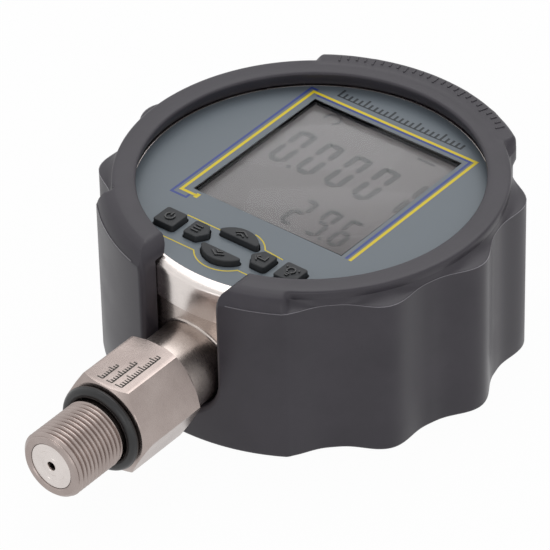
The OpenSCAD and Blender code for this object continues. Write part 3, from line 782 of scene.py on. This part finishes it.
def makeEtching():
    # a plain tick scale on the hexagon's upper flat
    base, top = etching["face"] - 0.01, etching["face"] + etching["thick"]
    marks = []
    for x, high, count in etching["rows"]:
        for i in range(count):
            y = -(etching["start"] - i * etching["step"])
            tall = high if i % 5 == 0 else high * 0.6
            marks.append(ribbon([(x, y), (x - tall, y)], etching["line"], base, top))
        marks.append(ribbon([(x, -etching["start"]), (x, -etching["start"] + (count - 1) * etching["step"])],
                            etching["line"], base, top))
    finishPiece(joinPieces(marks), "hexagon_tick_scale", "gauge", "stem_steel", material="etch_dark")


makeBezel()
makeNeck()
makeStem()
makeEtching()
makeWeld()
makeSealAndDisc()
caseShell = finishPiece(mergedCopy("case_cup"), "case_shell", "gauge", "case_steel", ["case_cup"], angle=25)
apply(caseShell, "WEIGHTED_NORMAL", keep_sharp=True, mode="FACE_AREA")
print("case and stem done")


printing = {
    "base": dialZ - 0.005, "thick": 0.03, "yellow": 0.95, "blue": 0.75, "thin": 0.36,
    "yellowFrame": [(-23.4, -21.9), (-28.45, -21.9), (-28.45, 37.1), (29.1, 37.1), (29.1, -20.2)],
    "blueFrame": [(-24.9, -22.6), (-24.9, -24.2), (-30.15, -24.2), (-30.15, 38.3), (-27.8, 38.3)],
    "blueInner": [(-26.6, 36.15), (27.65, 36.15), (27.65, -20.0)],
    "hook": [(-22.9, -20.9), (-22.9, -22.9)],
    "upperLine": [(-19.3, -30.4), (-7.6, -30.4)], "upperRight": [(7.7, -30.2), (14.5, -30.8)],
    "lowerLeft": (-21.1, -41.9), "lowerRight": (12.0, -41.9), "circle": (0, -35.9, 9.7),
}


def makePrinting():
    base, top = printing["base"], printing["base"] + printing["thick"]
    cx, cy, r = printing["circle"]
    upperStart = math.degrees(math.asin((printing["upperRight"][0][1] - cy) / r))
    lowerEnd = math.degrees(math.asin((printing["lowerLeft"][1] - cy) / r))
    yellow = [ribbon(printing["yellowFrame"], printing["yellow"], base, top),
              ribbon(printing["hook"], 1.25, base, top),
              ribbon(printing["upperLine"], printing["thin"], base, top),
              ribbon(arcPoints(cx, cy, r, 82, upperStart, 10) + [printing["upperRight"][1]],
                     printing["thin"], base, top),
              ribbon([printing["lowerLeft"]] + arcPoints(cx, cy, r, 180 - lowerEnd, 360 + lowerEnd, 20)
                     + [printing["lowerRight"]], printing["thin"], base, top)]
    finishPiece(joinPieces(yellow), "overlay_yellow_lines", "gauge", "overlay_film", material="line_yellow")
    blue = [ribbon(printing["blueFrame"], printing["blue"], base, top),
            ribbon(printing["blueInner"], printing["blue"], base, top)]
    finishPiece(joinPieces(blue), "overlay_blue_lines", "gauge", "overlay_film", material="line_blue")
    ticks = [ribbon([(x, 39.6), (x, 43.0 if k % 5 == 0 else 41.8)], 0.7, base, top)
             for k, x in ((k, -21.6 + 1.8 * k) for k in range(25))]
    ticks.append(ribbon([(-21.95, 39.6), (21.95, 39.6)], 0.45, base, top))
    finishPiece(joinPieces(ticks), "overlay_tick_scale", "gauge", "overlay_film", material="line_dark")


display = {
    "slant": 0.035, "thick": 0.04,
    "large": {"width": 6.2, "height": 16.5, "stroke": 1.85, "left": [-21.9, -12.2, -2.4, 7.3, 16.9],
              "foot": 6.5, "reading": "00001"},
    "small": {"width": 5.0, "height": 13.0, "stroke": 1.5, "left": [-0.9, 7.5, 15.0],
              "foot": -14.3, "reading": "296"},
    "glass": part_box("lcd_glass"),
}
segmentsOf = {"0": "abcdef", "1": "bc", "2": "abged", "6": "acdefg", "9": "abcdfg"}


def segmentOutline(kind, width, height, stroke):
    # six-cornered bars of one figure, with the foot's left corner at zero
    half, gap = stroke / 2, 0.09
    near, far = stroke + gap, width - stroke - gap
    across = [(half + gap, 0), (near, half), (far, half), (far + half, 0), (far, -half), (near, -half)]
    tall = height / 2
    upright = [(0, half + gap), (half, near), (half, tall - half - gap), (0, tall - gap),
               (-half, tall - half - gap), (-half, near)]
    shift = {"a": (0, height - half), "g": (0, tall), "d": (0, half), "f": (half, tall),
             "b": (width - half, tall), "e": (half, 0), "c": (width - half, 0)}[kind]
    return [(x + shift[0], y + shift[1]) for x, y in (across if kind in "agd" else upright)]


def makeDisplay():
    top = display["glass"][1].z / mm
    bars = []
    for row in (display["large"], display["small"]):
        for left, figure in zip(row["left"], row["reading"]):
            for kind in segmentsOf[figure]:
                outline = [(x + left + display["slant"] * y, y + row["foot"])
                           for x, y in segmentOutline(kind, row["width"], row["height"], row["stroke"])]
                bars.append(plateFrom(outline, top - 0.01, top + display["thick"]))
    for x, y, size in ((-13.6, 6.9, 0.75), (13.6, -13.7, 0.6)):
        bars.append(plateFrom(arcPoints(x, y, size, 0, 330, 11), top - 0.01, top + display["thick"]))
    bars.append(ribbon([(12.6, 31.5), (18.5, 31.5)], 0.9, top - 0.01, top + display["thick"]))
    bars.append(ribbon(arcPoints(-17.6, 31.9, 2.4, -60, 200, 12), 0.9, top - 0.01, top + display["thick"]))
    finishPiece(joinPieces(bars), "display_figures", "gauge", "display_grey", material="segment_grey")


def makePane():
    pane = mergedCopy("display_window")
    softEdges(pane, 0.08, 2)
    finishPiece(pane, "window_pane", "gauge", "window_clear", ["display_window"])


finishPiece(mergedCopy("face_overlay"), "dial_overlay", "gauge", "overlay_film", ["face_overlay"], angle=25)
makePrinting()
makeDisplay()
makePane()
print("dial done")


keyShape = {
    "row": -35.6, "round": 0.8, "top": dialZ + 1.8, "under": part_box("power_key")[0].z / mm,
    "lipTop": 44.8, "lipBottom": 43.3, "lipOut": 0.9, "plungerR": 2.4, "crown": 0.28,
    "leafR": 7.9, "leafGap": 3.3,
}


def roundedOutline(points, r, steps=4):
    outline = []
    for i, here in enumerate(points):
        before, after = points[i - 1], points[(i + 1) % len(points)]
        first = math.atan2(here[1] - before[1], here[0] - before[0]) - math.pi / 2
        second = math.atan2(after[1] - here[1], after[0] - here[0]) - math.pi / 2
        turn = (second - first) % fullTurn
        outline += arcPoints(here[0], here[1], r, math.degrees(first), math.degrees(first + turn), steps)
    return outline


def keyOutlines():
    r = keyShape["round"]
    half = 3.5 - r
    square = [(-half, -half), (half, -half), (half, half), (-half, half)]
    shield = [(-2.5, -2.4), (0.9, -2.4), (2.5, 0), (0.9, 2.4), (-2.5, 2.4)]
    core = keyShape["leafR"] - r
    reach = math.degrees(math.acos((keyShape["leafGap"] + r) / core))
    leaf = arcPoints(0, 0, core, 90 - reach, 90 + reach, 8)
    return {"power_key": (-21, square, 1, 0), "set_key": (-10.9, shield, 1, 0), "up_key": (0, leaf, 1, 5.6),
            "down_key": (0, leaf, -1, 5.6), "return_key": (10.9, shield, -1, 0),
            "light_key": (21, square, 1, 0)}


icons = {
    "power_key": [arcPoints(0, -0.1, 1.35, 125, 415, 14), [(0, 0.2), (0, 1.75)]],
    "set_key": [[(-1.9, 1.2), (0.6, 1.2)], [(-1.9, 0), (0.6, 0)], [(-1.9, -1.2), (0.6, -1.2)]],
    "up_key": [[(-2.1, 5.0), (0, 6.3), (2.1, 5.0)], [(-1.2, 4.3), (0, 5.0), (1.2, 4.3)]],
    "down_key": [[(-2.1, -5.0), (0, -6.3), (2.1, -5.0)], [(-1.2, -4.3), (0, -5.0), (1.2, -4.3)]],
    "return_key": [[(1.6, 1.3), (1.6, -0.5), (-1.5, -0.5)], [(-0.5, 0.6), (-1.6, -0.5), (-0.5, -1.6)]],
    "light_key": [arcPoints(0, 0.3, 1.2, -60, 240, 12), [(-0.55, -1.3), (0.55, -1.3)],
                  [(-0.5, -2.0), (0.5, -2.0)], [(-2.3, 1.4), (-1.8, 1.1)], [(2.3, 1.4), (1.8, 1.1)]],
}


def makeKey(node, x, points, side, plungerY):
    row, top = keyShape["row"], keyShape["top"]

    def at(outline):
        return [(x + side * px, row + side * py) for px, py in outline]

    body = plateFrom(at(roundedOutline(points, keyShape["round"])), keyShape["lipTop"] - 0.5, top)
    editAll(body)
    mesh = bmesh.from_edit_mesh(body.data)
    for face in mesh.faces:
        face.select = face.normal.z > 0.9
    bmesh.update_edit_mesh(body.data)
    bpy.ops.mesh.inset(thickness=1.3 * mm, depth=keyShape["crown"] * mm)
    bpy.ops.object.mode_set(mode="OBJECT")
    softEdges(body, 0.34, 3, angle=40)
    lip = plateFrom(at(roundedOutline(points, keyShape["round"] + keyShape["lipOut"])),
                    keyShape["lipBottom"], keyShape["lipTop"])
    combine(body, lip, "UNION")
    clearBench()
    deep = keyShape["lipBottom"] + 0.4 - keyShape["under"]
    middle = place(x, row + side * plungerY, keyShape["under"] + deep / 2)
    bpy.ops.mesh.primitive_cylinder_add(vertices=40, radius=keyShape["plungerR"] * mm, depth=deep * mm,
                                        location=middle)
    plunger = bpy.context.object
    softEdges(plunger, 0.2, 2)
    combine(body, plunger, "UNION")
    finishPiece(body, node + "_cap", node, "key_rubber", [node], angle=40)
    crown = top + keyShape["crown"]
    lines = [ribbon([(x + px, row + py) for px, py in line], 0.42, crown - 0.15, crown + 0.12)
             for line in icons[node]]
    finishPiece(joinPieces(lines), node + "_icon", node, "key_rubber", material="key_gloss", angle=40)


for node, (x, points, side, plungerY) in keyOutlines().items():
    makeKey(node, x, points, side, plungerY)
print("keys done")


def bevelledCopy(node, name, width):
    piece = mergedCopy(node)
    softEdges(piece, width, angle=40)
    slot = next(row["material_slot"] for row in frame["record"]["subparts"] if row["node"] == node)
    finishPiece(piece, name, "gauge", slot, [node], angle=35)


bevelledCopy("battery_door", "battery_door_cover", 0.3)
bevelledCopy("door_screws", "door_screw_heads", 0.12)
print("back done")


camera = {
    "turn": 39.505, "rise": 36.814, "roll": -1.39, "distance": 1.3133, "lens": 311.5,
    "across": 10.067, "up": 24.028,
}


def makeCamera():
    turn, rise, roll = (math.radians(camera[k]) for k in ("turn", "rise", "roll"))
    back = Vector((math.sin(turn) * math.cos(rise), -math.cos(turn) * math.cos(rise), math.sin(rise)))
    right = Vector((math.cos(turn), math.sin(turn), 0))
    up = right.cross(-back)
    rightRolled = math.cos(roll) * right + math.sin(roll) * up
    upRolled = -math.sin(roll) * right + math.cos(roll) * up
    aim = place(0, 0, dialZ) - rightRolled * camera["across"] * mm - upRolled * camera["up"] * mm
    clearBench()
    bpy.ops.object.camera_add(location=aim + back * camera["distance"])
    lens = bpy.context.object
    axes = Matrix((rightRolled, upRolled, back)).transposed()
    lens.matrix_world = Matrix.Translation(aim + back * camera["distance"]) @ axes.to_4x4()
    lens.data.lens = camera["lens"]
    lens.data.sensor_width = 36
    lens.data.clip_start = 0.05
    lens.data.clip_end = 20
    bpy.context.scene.camera = lens


lamps = [
    {"name": "topSoft", "at": (-0.25, 0.55, 1.05), "aim": (0, 0.02, 0.03), "size": (1.0, 0.8), "power": 5.0},
    {"name": "leftSoft", "at": (-1.0, -0.35, 0.6), "aim": (0, 0, 0.03), "size": (0.8, 0.9), "power": 0.35},
    {"name": "leftStrip", "at": (-0.35, -1.2, 0.35), "aim": (0, 0, 0.03),
     "size": (0.10, 0.9), "power": 0.45},
    {"name": "rightStrip", "at": (1.25, -0.15, 0.35), "aim": (0, 0, 0.03),
     "size": (0.12, 0.9), "power": 1.0},
    {"name": "frontSoft", "at": (0.75, -0.9, 0.55), "aim": (0, 0, 0.02), "size": (0.5, 0.9), "power": 1.8},
]


def makeLamps():
    for lamp in lamps:
        clearBench()
        bpy.ops.object.light_add(type="AREA", location=lamp["at"])
        light = bpy.context.object
        light.name = lamp["name"]
        light.data.shape = "RECTANGLE"
        light.data.size, light.data.size_y = lamp["size"]
        light.data.energy = lamp["power"]
        aim = Vector(lamp["aim"]) - Vector(lamp["at"])
        light.rotation_euler = aim.to_track_quat("-Z", "Y").to_euler()


def backdropRays(tree):
    # 1 for what the camera sees, straight or by way of metal and glass
    path = tree.nodes.new("ShaderNodeLightPath")
    seen = path.outputs["Is Camera Ray"]
    for ray in ("Is Glossy Ray", "Is Transmission Ray"):
        either = tree.nodes.new("ShaderNodeMath")
        either.operation = "MAXIMUM"
        link(tree, seen, either.inputs[0])
        link(tree, path.outputs[ray], either.inputs[1])
        seen = either.outputs["Value"]
    return seen


def makeWorld():
    world = bpy.data.worlds.new("studio")
    bpy.context.scene.world = world
    world.use_nodes = True
    tree = world.node_tree
    tree.nodes.clear()
    seen = backdropRays(tree)
    coordinates = tree.nodes.new("ShaderNodeTexCoord")
    split = tree.nodes.new("ShaderNodeSeparateXYZ")
    link(tree, coordinates.outputs["Generated"], split.inputs["Vector"])
    room = tree.nodes.new("ShaderNodeValToRGB")
    ramp = room.color_ramp
    ramp.elements[0].position = 0.0
    ramp.elements[0].color = (0.55, 0.55, 0.56, 1)
    ramp.elements[1].position = 1.0
    ramp.elements[1].color = (0.95, 0.95, 0.97, 1)
    for position, grey in ((0.42, 0.5), (0.52, 0.22), (0.62, 0.3), (0.75, 0.75)):
        element = ramp.elements.new(position)
        element.color = (grey, grey, grey * 1.02, 1)
    height = tree.nodes.new("ShaderNodeMapRange")
    height.inputs["From Min"].default_value = -1
    link(tree, split.outputs["Z"], height.inputs["Value"])
    link(tree, height.outputs["Result"], room.inputs["Fac"])
    roomLight = tree.nodes.new("ShaderNodeBackground")
    roomLight.inputs["Strength"].default_value = 0.6
    link(tree, room.outputs["Color"], roomLight.inputs["Color"])
    white = tree.nodes.new("ShaderNodeBackground")
    white.inputs["Color"].default_value = (1, 1, 1, 1)
    white.inputs["Strength"].default_value = 1
    mix = tree.nodes.new("ShaderNodeMixShader")
    output = tree.nodes.new("ShaderNodeOutputWorld")
    link(tree, seen, mix.inputs["Fac"])
    link(tree, roomLight.outputs["Background"], mix.inputs[1])
    link(tree, white.outputs["Background"], mix.inputs[2])
    link(tree, mix.outputs["Shader"], output.inputs["Surface"])


def makeFloor():
    clearBench()
    bpy.ops.mesh.primitive_plane_add(size=6, location=(0, 0, -0.0002))
    floor = bpy.context.object
    floor.name = "studio_floor"
    material, tree, shader = newMaterial("studio_floor")
    shader.inputs["Base Color"].default_value = (0.86, 0.86, 0.86, 1)
    shader.inputs["Roughness"].default_value = 0.9
    shader.inputs["Specular IOR Level"].default_value = 0.1
    seen = backdropRays(tree)
    glow = tree.nodes.new("ShaderNodeEmission")
    glow.inputs["Color"].default_value = (1, 1, 1, 1)
    glow.inputs["Strength"].default_value = 1
    mix = tree.nodes.new("ShaderNodeMixShader")
    share = tree.nodes.new("ShaderNodeMath")
    share.operation = "MULTIPLY"
    share.inputs[1].default_value = 0.97
    link(tree, seen, share.inputs[0])
    link(tree, share.outputs["Value"], mix.inputs["Fac"])
    link(tree, shader.outputs["BSDF"], mix.inputs[1])
    link(tree, glow.outputs["Emission"], mix.inputs[2])
    # clear from underneath, so that the back can be looked at
    under = tree.nodes.new("ShaderNodeNewGeometry")
    clear = tree.nodes.new("ShaderNodeBsdfTransparent")
    sides = tree.nodes.new("ShaderNodeMixShader")
    link(tree, under.outputs["Backfacing"], sides.inputs["Fac"])
    link(tree, mix.outputs["Shader"], sides.inputs[1])
    link(tree, clear.outputs["BSDF"], sides.inputs[2])
    link(tree, sides.outputs["Shader"], tree.nodes["Material Output"].inputs["Surface"])
    floor.data.materials.append(material)


makeCamera()
makeLamps()
makeWorld()
makeFloor()
bpy.context.scene.view_settings.view_transform = "Standard"
print("studio done")

clearBench()
